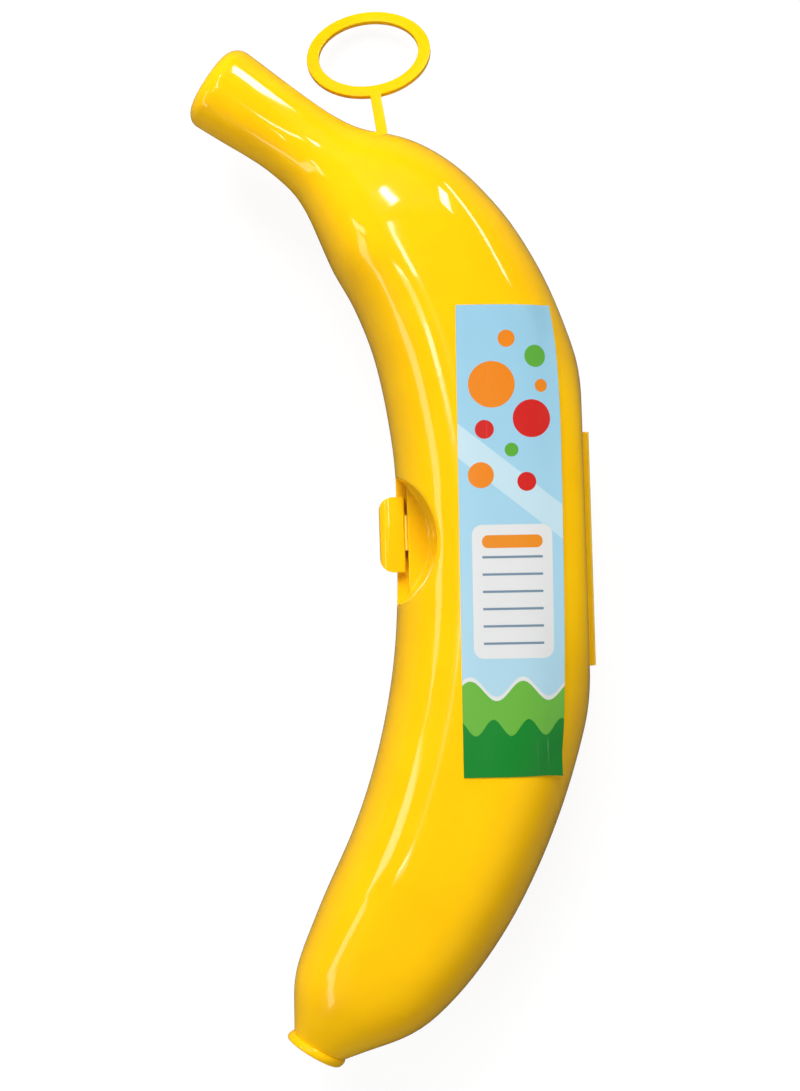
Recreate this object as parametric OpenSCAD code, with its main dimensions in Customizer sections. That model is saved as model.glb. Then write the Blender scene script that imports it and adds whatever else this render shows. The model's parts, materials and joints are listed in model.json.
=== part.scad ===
// Banana carrying case: a two-shell plastic case bent like the fruit, with a film hinge on its outer curve,
// a snap clip on its inner curve, a hanging ring at the neck and a paper label on the front.
// Millimetres. The case lies on its rear shell: +X to the hinge, +Y to the stem, +Z to the front.

/* [Outline] */
// Radius of the circle that the case bends along
bend_r = 168; // [150:1:190]
// Half width at the middle, before the hinge flat is cut
belly_half_w = 24.9; // [22:0.1:28]
// Angle along the bend from the middle to the tip
tip_angle = 44.1; // [38:0.1:50]
// Half width of the tip, behind its lip
tip_half_w = 6.9; // [5.5:0.1:9]
// Angle along the bend from the middle to the shoulder
shoulder_angle = 30; // [27:0.5:33]
// Half width at the shoulder
shoulder_half_w = 18.6; // [16.5:0.1:20]
// Angle along the bend from the middle to the neck
neck_angle = 36.5; // [35:0.5:39]
// Half width at the neck
neck_half_w = 11; // [9.5:0.1:13]
// Angle along the bend from the middle to the end of the stem
stem_angle = 48.2; // [45:0.1:53]
// Half width at the end of the stem
stem_half_w = 10.8; // [9.5:0.1:13]
// Distance of the stem's end inside the bend circle
stem_set_in = 14.7; // [11:0.1:17]

/* [Section] */
// Half depth of the middle, from the parting plane to the front or the back
half_depth = 21.5; // [19:0.1:25]
// Flatness of the front and back along the body: 2 gives an elliptical cross-section
body_flat = 3.2; // [2.2:0.1:3.6]
// Flatness of the front and back at the tip and the stem
end_flat = 2.2; // [2:0.1:2.8]
// Wall thickness of the shells
wall = 1.6; // [1.4:0.1:2.2]
// Gap between the two shells at the parting plane
rim_gap = 0.12; // [0.08:0.02:0.3]
// Thickness of the tongue on the rear rim
tongue_t = 0.7; // [0.5:0.05:0.9]
// Height of the tongue on the rear rim
tongue_h = 1.2; // [0.8:0.1:1.6]
// Clearance between the tongue and the step in the front rim
tongue_gap = 0.15; // [0.1:0.01:0.25]

/* [Tip and stem ends] */
// Thickness of the lip round the tip
lip_t = 2.2; // [1.4:0.1:3]
// Height of the lip round the tip
lip_h = 0.55; // [0.3:0.05:1]
// Rounding of the stem's end
stem_round = 4.2; // [2:0.1:6]

/* [Hinge] */
// Depth of the flat that carries the hinge, below the uncut outer curve
flat_depth = 4.4; // [3.6:0.1:5]
// Draft of the flat, from the parting plane to the front and to the back
flat_draft = 4; // [1:0.5:6]
// Length of the hinge
hinge_len = 56; // [40:1:60]
// Reach of the hinge leaves from the flat
leaf_reach = 0.95; // [0.8:0.05:1.4]
// Thickness of each hinge leaf
leaf_t = 1.5; // [1.1:0.1:2]
// Radius of the hinge film
film_r = 0.5; // [0.4:0.05:0.6]
// Clearance between a film and the edge that swings on it
film_gap = 0.05; // [0.03:0.01:0.1]

/* [Thumb pocket and clip] */
// Place of the clip's middle along the inner curve, from the middle of the hinge
latch_y = 4.2; // [0:0.2:8]
// Radius of the pocket at its floor
pocket_r = 18; // [16:0.5:20]
// Reach of the pocket's floor in from the inner curve
pocket_reach = 8.2; // [7:0.1:9.5]
// Height of the pocket's floor over the parting plane
shelf_h = 2.4; // [2:0.1:3.2]
// Draft of the pocket's wall
pocket_draft = 4.5; // [2:0.5:8]
// Width of the rear rim that shows in front of the shelf
rim_show = 2.75; // [2.4:0.05:3.2]
// Length of the clip
clip_len = 18; // [14:0.5:20]
// Reach of the clip out from the inner curve
clip_reach = 4.05; // [3.8:0.05:4.6]
// Wall thickness of the clip
clip_t = 1.4; // [1.2:0.1:1.6]
// Rounding of the clip's outer bend
clip_bend = 2.4; // [2:0.1:2.4]
// Rounding of the clip's corners, seen from the front
clip_corner = 3.3; // [1:0.1:4]
// Chamfer of the clip's edge beside its film, so that it clears the shelf when it swings open
clip_relief = 0.25; // [0.2:0.05:0.5]
// Length of the film between shelf and clip
latch_film_len = 8.4; // [5:0.2:12]
// Radius of the film between shelf and clip
latch_film_r = 0.33; // [0.25:0.01:0.36]
// Clearance between that film and the shelf
latch_gap = 0.02; // [0.02:0.01:0.05]
// Length of the catch rib under the clip's nose
catch_len = 13; // [8:0.5:14]
// Clearance between the clip's wall and the catch rib
catch_gap = 0.75; // [0.6:0.05:0.9]
// Reach of the clip's nose under the catch rib
nose_reach = 0.85; // [0.6:0.05:1]

/* [Hanging ring] */
// Angle along the bend from the middle to the ring's stalk
ring_angle = 35; // [33:0.25:35.5]
// Width of the ring
ring_w = 30.5; // [24:0.5:36]
// Length of the ring along its stalk
ring_l = 25.5; // [20:0.5:28]
// Width of the ring's band
band_w = 3; // [2:0.1:4]
// Thickness of ring and stalk
ring_t = 1.4; // [1:0.1:1.8]
// Length of the stalk
stalk_l = 11.7; // [8:0.1:13]
// Width of the stalk
stalk_w = 2.6; // [2:0.1:4]
// Lean of the ring towards the back
ring_lean = 27; // [10:1:28]
// Turn of the stalk towards the stem, seen from the front
ring_turn = 7.4; // [0:0.2:15]
// Clearance between the stalk's root and the rear shell
root_gap = 0.1; // [0.05:0.05:0.3]

/* [Label] */
// Length of the label
label_l = 109.5; // [60:0.5:112]
// Width of the label
label_w = 24; // [14:0.2:25]
// Thickness of the label
label_t = 0.15; // [0.1:0.01:0.3]
// Clearance between the label and the front
label_gap = 0.1; // [0.06:0.02:0.2]
// Place of the label's middle outside the bend circle
label_out = 2.2; // [0:0.1:4]
// Place of the label's middle along the case
label_up = 1.9; // [-4:0.1:6]

/* [Hidden] */
$fn = 48;

PLASTIC = [1, 0.78, 0.03];
PAPER = [0.72, 0.85, 0.93];

// Points round one cross-section, and steps of the outline on each part of the bend
RING = 36;
TIP_STEPS = 18;
BELLY_STEPS = 10;
STEM_STEPS = 14;

function mix(a, b, t) = a + (b - a) * t;
function ease(t) = let (c = min(max(t, 0), 1)) c * c * (3 - 2 * c);
function bend_angle(s) = s / bend_r * 180 / PI;

// Outline rows: angle along the bend, centre line outside the bend circle, half width, half depth
shoulder_set = -1.7;
neck_set = -7.9;
profile = [
    [-tip_angle, 0.9, tip_half_w, tip_half_w],
    [-0.97 * tip_angle, 0.6, 0.386 * belly_half_w, 0.46 * half_depth],
    [-0.907 * tip_angle, 0, 0.606 * belly_half_w, 0.68 * half_depth],
    [-0.839 * tip_angle, 0.1, 0.729 * belly_half_w, 0.815 * half_depth],
    [-0.726 * tip_angle, 0.3, 0.831 * belly_half_w, 0.945 * half_depth],
    [-0.6 * tip_angle, 0.6, 0.88 * belly_half_w, half_depth],
    [-0.272 * tip_angle, 0.4, 0.958 * belly_half_w, half_depth],
    [0, 0.5, belly_half_w, half_depth],
    [0.333 * shoulder_angle, 1.6, 0.968 * belly_half_w, half_depth],
    [0.6 * shoulder_angle, 1.8, 0.912 * belly_half_w, half_depth],
    [0.8 * shoulder_angle, 0.8, 0.859 * belly_half_w, half_depth],
    [0.9 * shoulder_angle, -0.6, 0.823 * belly_half_w, 0.975 * half_depth],
    [shoulder_angle, shoulder_set, shoulder_half_w, 0.89 * half_depth],
    [mix(shoulder_angle, neck_angle, 0.54), mix(shoulder_set, neck_set, 0.34),
        mix(shoulder_half_w, neck_half_w, 0.475), 0.72 * half_depth],
    [neck_angle, neck_set, neck_half_w, 1.06 * neck_half_w],
    [mix(neck_angle, stem_angle, 0.26), mix(neck_set, -stem_set_in, 0.37),
        0.91 * neck_half_w, 0.93 * neck_half_w],
    [mix(neck_angle, stem_angle, 0.64), mix(neck_set, -stem_set_in, 0.77),
        0.96 * stem_half_w, 0.94 * stem_half_w],
    [stem_angle, -stem_set_in, stem_half_w, 0.98 * stem_half_w],
];

// Smooth curve through one column of the rows, without overshoot
function rise(i, c) = (profile[i + 1][c] - profile[i][c]) / (profile[i + 1][0] - profile[i][0]);
function knot(i, c) =
    i == 0 ? rise(0, c) : i == len(profile) - 1 ? rise(i - 1, c) :
    let (a = rise(i - 1, c), b = rise(i, c)) a * b <= 0 ? 0 : 2 * a * b / (a + b);
function span(x, i = 0) = i >= len(profile) - 2 || x < profile[i + 1][0] ? i : span(x, i + 1);
function curve(angle, c) =
    let (x = min(max(angle, -tip_angle), stem_angle), i = span(x),
        h = profile[i + 1][0] - profile[i][0], t = (x - profile[i][0]) / h)
    profile[i][c] * (2 * t ^ 3 - 3 * t ^ 2 + 1) + profile[i + 1][c] * (3 * t ^ 2 - 2 * t ^ 3)
    + h * (knot(i, c) * (t ^ 3 - 2 * t ^ 2 + t) + knot(i + 1, c) * (t ^ 3 - t ^ 2));

// Middle and sideways direction of the cross-section at an angle; both end faces lean a little
tip_turn = 13;
stem_turn = 6;
function middle(a) = (bend_r + curve(a, 1)) * [cos(a), sin(a)];
function lean(a) = tip_turn * ease((8 - tip_angle - a) / 8) + stem_turn * ease((a + 7 - stem_angle) / 7);
function across(a) = [cos(a + lean(a)), sin(a + lean(a))];
function edge(a, side) = middle(a) + side * curve(a, 2) * across(a);

// One cross-section, an oval with flattened front and back; inset is taken off its half width and half depth
function flatness(a) = mix(end_flat, body_flat,
    ease((a + tip_angle) / 10) * ease((neck_angle - a) / (neck_angle - shoulder_angle + 2)));
function section(a, inset) =
    let (m = middle(a), e = across(a), w = curve(a, 2) - inset, d = curve(a, 3) - inset, n = flatness(a))
    [for (k = [0:RING - 1]) let (t = (k + 0.5) * 360 / RING, u = w * sign(cos(t)) * abs(cos(t)) ^ (2 / n))
        [m.x + u * e.x, m.y + u * e.y, d * sin(t)]];

// Angles and insets of the cross-sections from tip to stem, outside and inside
body_angles = concat(
    [for (k = [0:TIP_STEPS]) -tip_angle * cos(90 * k / TIP_STEPS)],
    [for (k = [1:BELLY_STEPS]) shoulder_angle * k / BELLY_STEPS],
    [for (k = [1:STEM_STEPS]) mix(shoulder_angle, stem_angle - bend_angle(stem_round), k / STEM_STEPS)]);
outer_cuts = concat(
    [for (b = [180:-45:45]) [-tip_angle - bend_angle(lip_t / 2 * (1 - cos(b))), -lip_h * sin(b)]],
    [for (a = body_angles) [a, 0]],
    stem_cuts(stem_angle, 0, 5));
function stem_cuts(end, inset, steps) =
    [for (k = [1:steps]) let (b = 90 * k / steps)
        [end - bend_angle(stem_round * (1 - sin(b))), inset + stem_round * (1 - cos(b))]];
function inner_cuts(inset) =
    let (lo = -tip_angle + bend_angle(0.3 + inset - wall), hi = stem_angle - bend_angle(inset))
    concat([[lo, inset]],
        [for (a = body_angles) if (a > lo + 0.3 && a < hi - bend_angle(stem_round) - 0.3) [a, inset]],
        stem_cuts(hi, inset, 3));

// Hinge
flat_x = bend_r + curve(0, 1) + belly_half_w - flat_depth;
hinge_x = flat_x + leaf_reach + film_gap;
hinge_y = -0.6;

// Thumb pocket, clip and catch
rim_x = bend_r + curve(0, 1) - belly_half_w;
shelf_x = rim_x + rim_show;
pocket_x = rim_x + pocket_reach - pocket_r;
pocket_y = latch_y - 1.4;
clip_x = rim_x - clip_reach;
latch_axis = [shelf_x - latch_gap - latch_film_r, shelf_h - latch_gap - latch_film_r];
clip_end_x = latch_axis.x - latch_film_r - film_gap;
catch_x = clip_x + clip_t + catch_gap;
catch_z = -2.4;

// Ring
ring_root = edge(ring_angle, 1);
root_along = edge(ring_angle - 0.4, 1) - edge(ring_angle + 0.4, 1);
root_turn = atan2(root_along.y, root_along.x);
ring_z = -0.35 - ring_t;

// Whole extent, for the origin under the middle of the case
body_points = [for (c = outer_cuts) for (p = section(c[0], c[1])) p];
ring_points = [for (t = [0:6:354]) for (n = [-0.5, 0.5]) let (
        u = ring_w / 2 * cos(t), v = stalk_l + ring_l / 2 * (1 + sin(t)), w = n * ring_t)
    ring_root.y + u * sin(ring_turn) + (v * cos(ring_lean) + w * sin(ring_lean)) * cos(ring_turn)];
part_z = -min([for (p = body_points) p.z]);
origin_x = (min([for (p = body_points) p.x]) + hinge_x + film_r) / 2;
origin_y = (min([for (p = body_points) p.y]) + max(ring_points)) / 2;

module placed() translate([-origin_x, -origin_y, part_z]) children();

// Solid between neighbouring cross-sections; each step reaches a little into the next one, inside its skin
module loft(cuts)
    for (i = [0:len(cuts) - 2]) {
        from = cuts[i];
        to = cuts[i + 1];
        plug = i < len(cuts) - 2 ? section(to[0] + 0.025, to[1] + 0.3) : [];
        points = concat(section(from[0], from[1]), section(to[0], to[1]), plug);
        hull() polyhedron(points, [for (r = [0:RING:len(points) - 1]) [for (k = [0:RING - 1]) r + k]]);
    }

// Space past the drafted flat that carries the hinge
module beyond(x) {
    back = 60 * tan(flat_draft);
    rotate([90, 0, 0]) linear_extrude(240, center = true)
        polygon([[x, 0], [x - back, 60], [x + 60, 60], [x + 60, -60], [x - back, -60]]);
}

module body() difference() { loft(outer_cuts); beyond(flat_x); }
module hollow() difference() { loft(inner_cuts(wall)); beyond(flat_x - wall); }

// Front or rear half of space, cut back by half the rim gap
module front_space() translate([0, -200, rim_gap / 2]) cube([400, 400, 100]);
module rear_space() translate([0, -200, -100 - rim_gap / 2]) cube([400, 400, 100]);

// Outline at the parting plane, set in by a distance
module outline(inset) {
    cuts = inner_cuts(inset);
    difference() {
        polygon(concat(
            [for (c = cuts) middle(c[0]) + (curve(c[0], 2) - c[1]) * across(c[0])],
            [for (i = [len(cuts) - 1:-1:0]) let (c = cuts[i])
                middle(c[0]) - (curve(c[0], 2) - c[1]) * across(c[0])]));
        translate([flat_x - inset, -120]) square([60, 240]);
    }
}

// Pocket with drafted wall, from a floor height upwards; grow makes it larger all round
module pocket(floor_z, grow)
    translate([pocket_x, pocket_y, floor_z])
        cylinder(h = 40, r1 = pocket_r + grow, r2 = pocket_r + grow + 40 * tan(pocket_draft), $fn = 96);
module pocket_zone(grow)
    translate([pocket_x, pocket_y, -10]) cylinder(h = 30, r = pocket_r + grow, $fn = 96);

// Hinge leaf on one side of the parting plane, hollowed for the film
module leaf(side)
    difference() {
        translate([0, hinge_y, side > 0 ? rim_gap / 2 : -leaf_t])
            linear_extrude(leaf_t - rim_gap / 2)
                polygon([[flat_x - 0.8, -hinge_len / 2], [flat_x + leaf_reach - 0.4, -hinge_len / 2],
                    [flat_x + leaf_reach, 0.4 - hinge_len / 2], [flat_x + leaf_reach, hinge_len / 2 - 0.4],
                    [flat_x + leaf_reach - 0.4, hinge_len / 2], [flat_x - 0.8, hinge_len / 2]]);
        translate([hinge_x, 0, 0]) rotate([90, 0, 0])
            cylinder(h = hinge_len + 20, r = film_r + film_gap, center = true, $fn = 24);
    }

// Rib on the rear shell that the clip's nose snaps under, with a sloped lead-in
module catch_rib()
    translate([0, latch_y + catch_len / 2, 0]) rotate([90, 0, 0])
        linear_extrude(catch_len)
            polygon([[rim_x + 1.2, -0.3], [catch_x + 0.9, -0.3], [catch_x, -1.2], [catch_x, catch_z],
                [rim_x + 1.2, catch_z]]);

// Tongue that stands on the rear rim, left out under the pocket
module tongue()
    difference() {
        translate([0, 0, -1]) linear_extrude(1 + tongue_h)
            difference() { outline(wall - tongue_t); outline(wall - 0.05); }
        pocket_zone(wall + 0.6);
    }

module rear_shell() color(PLASTIC) placed() {
    difference() {
        intersection() { body(); rear_space(); }
        difference() {
            hollow();
            translate([pocket_x, pocket_y, -wall]) cylinder(h = 2 * wall, r = pocket_r + wall, $fn = 96);
        }
    }
    tongue();
    leaf(-1);
    catch_rib();
}

module front_shell() color(PLASTIC) placed() difference() {
    union() {
        difference() {
            intersection() { body(); front_space(); }
            difference() { hollow(); pocket(-1, wall); }
        }
        leaf(1);
    }
    pocket(shelf_h, 0);
    intersection() {
        pocket_zone(0);
        translate([shelf_x - 40, pocket_y - 40, -1]) cube([40, 80, shelf_h + 1.5]);
    }
    difference() {
        linear_extrude(tongue_h + tongue_gap) outline(wall - tongue_t - tongue_gap);
        pocket_zone(wall);
    }
}

module hinge_film() color(PLASTIC) placed()
    translate([hinge_x, hinge_y, 0]) rotate([90, 0, 0]) cylinder(h = hinge_len, r = film_r, center = true);

// Rounded corner as points, centre c, from one angle to another
function arc(c, r, from, to) = [for (k = [0:8]) let (t = mix(from, to, k / 8)) c + r * [cos(t), sin(t)]];

// Clip: leg over the rear rim, outer wall and nose, seen along the hinge
clip_low = -5;
nose_x = catch_x + nose_reach;
module clip_profile()
    polygon(concat(
        arc([clip_x + clip_bend, shelf_h - clip_bend], clip_bend, 90, 180),
        arc([clip_x + 0.8, clip_low + 0.8], 0.8, 180, 270),
        [[nose_x - 0.7, clip_low], [nose_x, clip_low + 0.8], [nose_x, catch_z - 0.8],
            [clip_x + clip_t, catch_z - 0.4], [clip_x + clip_t, shelf_h - clip_bend],
            [clip_x + clip_bend, 0.3], [clip_end_x, 0.3],
            [clip_end_x, shelf_h - clip_relief], [clip_end_x - clip_relief, shelf_h]]));
module clip_plan()
    polygon(concat(
        [[clip_end_x + 1, -clip_len / 2], [clip_end_x + 1, clip_len / 2]],
        arc([clip_x + clip_corner, clip_len / 2 - clip_corner], clip_corner, 90, 180),
        arc([clip_x + clip_corner, clip_corner - clip_len / 2], clip_corner, 180, 270)));

module latch_clip() color(PLASTIC) placed() translate([0, latch_y, 0])
    intersection() {
        rotate([90, 0, 0]) linear_extrude(clip_len, center = true) clip_profile();
        translate([0, 0, -10]) linear_extrude(20) clip_plan();
    }

module latch_film() color(PLASTIC) placed()
    translate([latch_axis.x, latch_y + 0.4, latch_axis.y]) rotate([90, 0, 0])
        cylinder(h = latch_film_len, r = latch_film_r, center = true);

function oval(w, l) = [for (t = [0:6:354]) [w / 2 * cos(t), l / 2 * sin(t)]];

module hang_ring() color(PLASTIC) placed() difference() {
    translate([ring_root.x, ring_root.y, ring_z]) rotate([0, 0, ring_turn]) rotate([-ring_lean, 0, 0])
        linear_extrude(ring_t, center = true) {
            translate([0, stalk_l + ring_l / 2]) difference() {
                polygon(oval(ring_w, ring_l));
                polygon(oval(ring_w - 2 * band_w, ring_l - 2 * band_w));
            }
            translate([-stalk_w / 2, -4]) square([stalk_w, stalk_l + 4 + band_w / 2]);
        }
    translate([ring_root.x, ring_root.y, 0]) rotate([0, 0, root_turn])
        translate([-20, root_gap - 40, -20]) cube([40, 40, 40]);
}

// Label: a thin sheet laid on the front, a little clear of it
label_c = [bend_r + label_out, label_up];
label_turn = 0.8;
label_d = [sin(label_turn), cos(label_turn)];
label_e = [cos(label_turn), -sin(label_turn)];
LABEL_ROWS = 24;
LABEL_HALF = 6;
function front_z(p) =
    let (a = atan2(p.y, p.x), u = (norm(p) - bend_r - curve(a, 1)) / curve(a, 2))
    curve(a, 3) * sqrt(1 - min(abs(u), 0.999) ^ flatness(a));
function front_slope(p, e) = (front_z(p + 0.1 * e) - front_z(p - 0.1 * e)) / 0.2;
function walk(p, e) =
    [for (k = 0, q = p; k <= LABEL_HALF;
        q = q + label_w / 2 / LABEL_HALF / sqrt(1 + front_slope(q, e) ^ 2) * e, k = k + 1) q];
function label_row(t) =
    let (p = label_c + t * label_d, left = walk(p, -label_e), right = walk(p, label_e))
    concat([for (k = [LABEL_HALF:-1:1]) left[k]], right);
function lifted(p, h) =
    let (n = [-front_slope(p, [1, 0]), -front_slope(p, [0, 1]), 1])
    [p.x, p.y, front_z(p)] + h * n / norm(n);

label_grid = [for (k = [0:LABEL_ROWS]) label_row(label_l * (k / LABEL_ROWS - 0.5))];
module label() color(PAPER) placed() {
    cols = 2 * LABEL_HALF + 1;
    n = cols * (LABEL_ROWS + 1);
    rim = concat([for (c = [0:cols - 1]) c], [for (r = [1:LABEL_ROWS]) r * cols + cols - 1],
        [for (c = [cols - 2:-1:0]) LABEL_ROWS * cols + c], [for (r = [LABEL_ROWS - 1:-1:1]) r * cols]);
    polyhedron(
        points = concat([for (row = label_grid) for (p = row) lifted(p, label_gap + label_t)],
            [for (row = label_grid) for (p = row) lifted(p, label_gap)]),
        faces = concat(
            [for (r = [0:LABEL_ROWS - 1]) for (c = [0:cols - 2]) let (i = r * cols + c) each
                [[i, i + cols, i + cols + 1], [i, i + cols + 1, i + 1],
                [n + i, n + i + cols + 1, n + i + cols], [n + i, n + i + 1, n + i + cols + 1]]],
            [for (k = [0:len(rim) - 1]) let (i = rim[k], j = rim[(k + 1) % len(rim)]) each
                [[i, j, n + j], [i, n + j, n + i]]]));
}

rear_shell();
front_shell();
hinge_film();
latch_clip();
latch_film();
hang_ring();
label();
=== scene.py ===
"""Banana carrying case: smooth shells, clip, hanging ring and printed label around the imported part."""

import json
import math

import bmesh
import bpy
import numpy as np
from mathutils import Matrix, Vector


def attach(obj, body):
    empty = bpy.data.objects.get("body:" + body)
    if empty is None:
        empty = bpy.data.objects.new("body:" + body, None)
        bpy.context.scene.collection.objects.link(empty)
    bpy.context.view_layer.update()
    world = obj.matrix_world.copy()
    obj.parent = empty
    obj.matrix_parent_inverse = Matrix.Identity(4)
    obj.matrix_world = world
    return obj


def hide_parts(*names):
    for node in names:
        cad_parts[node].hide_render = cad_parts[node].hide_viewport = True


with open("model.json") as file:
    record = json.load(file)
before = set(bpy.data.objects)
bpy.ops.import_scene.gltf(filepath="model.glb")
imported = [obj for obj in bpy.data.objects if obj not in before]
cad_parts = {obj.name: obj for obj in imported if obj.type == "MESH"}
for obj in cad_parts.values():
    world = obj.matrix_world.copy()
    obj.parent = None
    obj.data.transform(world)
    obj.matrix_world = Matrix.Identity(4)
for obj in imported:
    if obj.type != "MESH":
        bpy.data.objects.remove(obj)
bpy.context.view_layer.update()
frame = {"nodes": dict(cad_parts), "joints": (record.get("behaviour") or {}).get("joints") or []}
MM = 0.001

# Sizes in millimetres and degrees, the same as the part's source
BEND_R = 168.0
BELLY_W = 24.9
BELLY_SET = 0.5
TIP_ANGLE = 44.1
TIP_W = 6.9
SHOULDER_ANGLE = 30.0
SHOULDER_W = 18.6
SHOULDER_SET = -1.7
NECK_ANGLE = 36.5
NECK_W = 11.0
NECK_SET = -7.9
STEM_ANGLE = 48.2
STEM_W = 10.8
STEM_SET = -14.7
TIP_TURN = 13.0
TIP_TURN_SPAN = 8.0
STEM_TURN = 6.0
STEM_TURN_SPAN = 7.0
DEPTH = 21.5
BODY_FLAT = 3.2
END_FLAT = 2.2
TIP_FADE = 10.0
NECK_FADE = 2.0
WALL = 1.6
HALF_GAP = 0.06
TONGUE_T = 0.7
TONGUE_H = 1.2
TONGUE_GAP = 0.15
LIP_T = 2.2
LIP_H = 0.55
STEM_ROUND = 4.2
FLAT_DEPTH = 4.4
FLAT_DRAFT = math.tan(math.radians(4))
HINGE_LEN = 56.0
HINGE_Y = -0.6
LEAF_REACH = 0.95
LEAF_T = 1.5
LATCH_Y = 4.2
POCKET_R = 18.0
POCKET_REACH = 8.2
POCKET_DROP = 1.4
POCKET_DRAFT = math.tan(math.radians(4.5))
SHELF_H = 2.4
RIM_SHOW = 2.75
CLIP_REACH = 4.05
CLIP_T = 1.4
CATCH_LEN = 13.0
CATCH_Z = 2.4
RING_LEAN = 27.0
RING_TURN = 7.4
LABEL_L = 109.5
LABEL_W = 24.0
LABEL_OUT = 2.2
LABEL_UP = 1.9
LABEL_TURN = 0.8

# Rounding that only the look needs
EDGE = 0.25
FLAT_SOFT = 1.6
POCKET_SOFT = 1.0


def mix(a, b, t):
    return a + (b - a) * t


def ease(t):
    c = np.clip(t, 0.0, 1.0)
    return c * c * (3 - 2 * c)


def soft_min(a, b, k):
    h = np.clip(k - np.abs(a - b), 0, None) / k
    return np.minimum(a, b) - h * h * k / 4


def soft_max(a, b, k):
    return -soft_min(-a, -b, k)


def bend_angle(length):
    return math.degrees(length / BEND_R)


# Outline rows: angle along the bend, centre line outside the bend circle, half width, half depth
OUTLINE = np.array([
    [-TIP_ANGLE, 0.9, TIP_W, TIP_W],
    [-0.97 * TIP_ANGLE, 0.6, 0.386 * BELLY_W, 0.46 * DEPTH],
    [-0.907 * TIP_ANGLE, 0.0, 0.606 * BELLY_W, 0.68 * DEPTH],
    [-0.839 * TIP_ANGLE, 0.1, 0.729 * BELLY_W, 0.815 * DEPTH],
    [-0.726 * TIP_ANGLE, 0.3, 0.831 * BELLY_W, 0.945 * DEPTH],
    [-0.6 * TIP_ANGLE, 0.6, 0.88 * BELLY_W, DEPTH],
    [-0.272 * TIP_ANGLE, 0.4, 0.958 * BELLY_W, DEPTH],
    [0.0, BELLY_SET, BELLY_W, DEPTH],
    [0.333 * SHOULDER_ANGLE, 1.6, 0.968 * BELLY_W, DEPTH],
    [0.6 * SHOULDER_ANGLE, 1.8, 0.912 * BELLY_W, DEPTH],
    [0.8 * SHOULDER_ANGLE, 0.8, 0.859 * BELLY_W, DEPTH],
    [0.9 * SHOULDER_ANGLE, -0.6, 0.823 * BELLY_W, 0.975 * DEPTH],
    [SHOULDER_ANGLE, SHOULDER_SET, SHOULDER_W, 0.89 * DEPTH],
    [mix(SHOULDER_ANGLE, NECK_ANGLE, 0.54), mix(SHOULDER_SET, NECK_SET, 0.34),
     mix(SHOULDER_W, NECK_W, 0.475), 0.72 * DEPTH],
    [NECK_ANGLE, NECK_SET, NECK_W, 1.06 * NECK_W],
    [mix(NECK_ANGLE, STEM_ANGLE, 0.26), mix(NECK_SET, STEM_SET, 0.37), 0.91 * NECK_W, 0.93 * NECK_W],
    [mix(NECK_ANGLE, STEM_ANGLE, 0.64), mix(NECK_SET, STEM_SET, 0.77), 0.96 * STEM_W, 0.94 * STEM_W],
    [STEM_ANGLE, STEM_SET, STEM_W, 0.98 * STEM_W],
])
FINE_STEP = 0.05
FINE = np.arange(-TIP_ANGLE, STEM_ANGLE + FINE_STEP / 2, FINE_STEP)


def smooth_column(c, spread):
    """One column of the outline on the fine angles: no overshoot, and no kink at the rows."""
    knots, values = OUTLINE[:, 0], OUTLINE[:, c]
    step = np.diff(knots)
    rise = np.diff(values) / step
    before, after = rise[:-1], rise[1:]
    same = before * after > 0
    total = np.where(same, before + after, 1.0)
    slope = np.concatenate([rise[:1], np.where(same, 2 * before * after / total, 0.0), rise[-1:]])
    i = np.clip(np.searchsorted(knots, FINE, side="right") - 1, 0, len(step) - 1)
    h, t = step[i], (FINE - knots[i]) / step[i]
    curve = values[i] * (2 * t**3 - 3 * t**2 + 1) + values[i + 1] * (3 * t**2 - 2 * t**3)
    curve += h * (slope[i] * (t**3 - 2 * t**2 + t) + slope[i + 1] * (t**3 - t**2))
    reach = int(4 * spread / FINE_STEP)
    kernel = np.exp(-0.5 * (np.arange(-reach, reach + 1) * FINE_STEP / spread) ** 2)
    start = 2 * curve[0] - curve[reach:0:-1]
    end = 2 * curve[-1] - curve[-2:-reach - 2:-1]
    return np.convolve(np.concatenate([start, curve, end]), kernel / kernel.sum(), mode="valid")


# Columns of the outline, each smoothed over its own spread in degrees
SET_OUT = smooth_column(1, 0.8)
HALF_W = smooth_column(2, 0.7)
HALF_D = smooth_column(3, 1.5)


def half_width(a):
    return np.interp(a, FINE, HALF_W)


def half_depth(a):
    return np.interp(a, FINE, HALF_D)


def middle(a):
    r = BEND_R + np.interp(a, FINE, SET_OUT)
    return r * np.cos(np.radians(a)), r * np.sin(np.radians(a))


def across(a):
    """Sideways direction of the cut at an angle; both end faces lean a little."""
    tip_share = ease((TIP_TURN_SPAN - TIP_ANGLE - a) / TIP_TURN_SPAN)
    stem_share = ease((a + STEM_TURN_SPAN - STEM_ANGLE) / STEM_TURN_SPAN)
    lean = TIP_TURN * tip_share + STEM_TURN * stem_share
    return np.cos(np.radians(a + lean)), np.sin(np.radians(a + lean))


# Places that follow from the sizes, in the bend's own frame
LEAF_PLAY = 0.05
CATCH_GAP = 0.75
FLAT_X = BEND_R + BELLY_SET + BELLY_W - FLAT_DEPTH
HINGE_X = FLAT_X + LEAF_REACH + LEAF_PLAY
RIM_X = BEND_R + BELLY_SET - BELLY_W
SHELF_X = RIM_X + RIM_SHOW
POCKET_X = RIM_X + POCKET_REACH - POCKET_R
POCKET_Y = LATCH_Y - POCKET_DROP
CLIP_X = RIM_X - CLIP_REACH
CATCH_X = CLIP_X + CLIP_T + CATCH_GAP

# The frame's hinge ties the bend's frame to the part's frame
hinge = next(j for j in frame["joints"] if j["name"] == "lid_hinge")
ORIGIN = np.array([HINGE_X, HINGE_Y, 0.0]) - np.array(hinge["pos_m"]) / MM


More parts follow.
